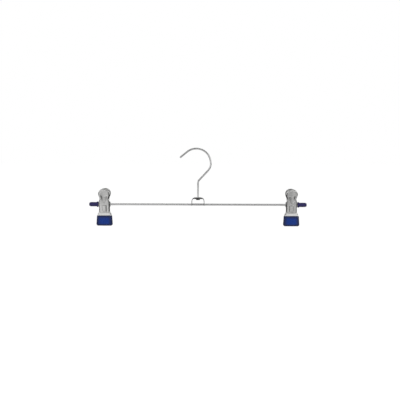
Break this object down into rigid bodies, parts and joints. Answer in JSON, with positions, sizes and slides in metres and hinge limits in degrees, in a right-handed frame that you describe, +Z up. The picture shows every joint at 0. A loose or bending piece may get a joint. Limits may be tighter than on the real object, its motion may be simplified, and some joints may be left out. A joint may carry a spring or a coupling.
{
  "type": "skirt hanger",
  "caption": "Skirt hanger with a swivelling wire hook, a straight crossbar, and sprung metal clips with vinyl-coated jaws that slide along the bar.",
  "frame": {"origin": "inside of the hook where it rests on the rail, on the axis of the swivel", "axes": "+X to the right along the crossbar as seen from the front, +Y to the back, +Z up; the hook opens towards -X"},
  "size_m": [0.3, 0.0244, 0.108],
  "materials": {
    "bar_chrome": "bright plated wire and strip",
    "hook_chrome": "bright plated wire",
    "clip_steel": "plated pressed sheet, slightly uneven",
    "spring_steel": "bare spring wire",
    "grip_vinyl": "soft dark blue vinyl, satin",
    "cap_vinyl": "soft dark navy vinyl, satin"
  },
  "bodies": {
    "hook_wire": {"hook": "hook_chrome"},
    "bar_frame": {"crossbar": "bar_chrome", "swivel_bracket": "bar_chrome", "left_end_cap": "cap_vinyl", "right_end_cap": "cap_vinyl"},
    "left_clip_carrier": {"left_pivot_rivet": "clip_steel"},
    "left_clip_front": {"left_front_jaw": "clip_steel", "left_front_grip": "grip_vinyl", "left_spring": "spring_steel"},
    "left_clip_back": {"left_back_jaw": "clip_steel", "left_back_grip": "grip_vinyl"},
    "right_clip_carrier": {"right_pivot_rivet": "clip_steel"},
    "right_clip_front": {"right_front_jaw": "clip_steel", "right_front_grip": "grip_vinyl", "right_spring": "spring_steel"},
    "right_clip_back": {"right_back_jaw": "clip_steel", "right_back_grip": "grip_vinyl"}
  },
  "joints": [
    {"name": "hook_swivel", "type": "hinge", "parent": "hook_wire", "child": "bar_frame", "pos_m": [0, 0, -0.0757], "axis": [0, 0, 1], "continuous": true},
    {"name": "left_clip_slide", "type": "slide", "parent": "bar_frame", "child": "left_clip_carrier", "axis": [1, 0, 0], "range_m": [0, 0.1115]},
    {"name": "left_clip_swing", "type": "hinge", "parent": "left_clip_carrier", "child": "left_clip_front", "pos_m": [-0.129, 0, -0.0757], "axis": [1, 0, 0], "continuous": true},
    {"name": "left_clip_open", "type": "hinge", "parent": "left_clip_front", "child": "left_clip_back", "pos_m": [-0.129, 0, -0.0757], "axis": [1, 0, 0], "range_deg": [0, 40], "stiffness_Nm_per_rad": 0.1, "springref_deg": -51.57, "deforming": ["left_spring"]},
    {"name": "right_clip_slide", "type": "slide", "parent": "bar_frame", "child": "right_clip_carrier", "axis": [-1, 0, 0], "range_m": [0, 0.1115]},
    {"name": "right_clip_swing", "type": "hinge", "parent": "right_clip_carrier", "child": "right_clip_front", "pos_m": [0.129, 0, -0.0757], "axis": [1, 0, 0], "continuous": true},
    {"name": "right_clip_open", "type": "hinge", "parent": "right_clip_front", "child": "right_clip_back", "pos_m": [0.129, 0, -0.0757], "axis": [1, 0, 0], "range_deg": [0, 40], "stiffness_Nm_per_rad": 0.1, "springref_deg": -51.57, "deforming": ["right_spring"]}
  ]
}
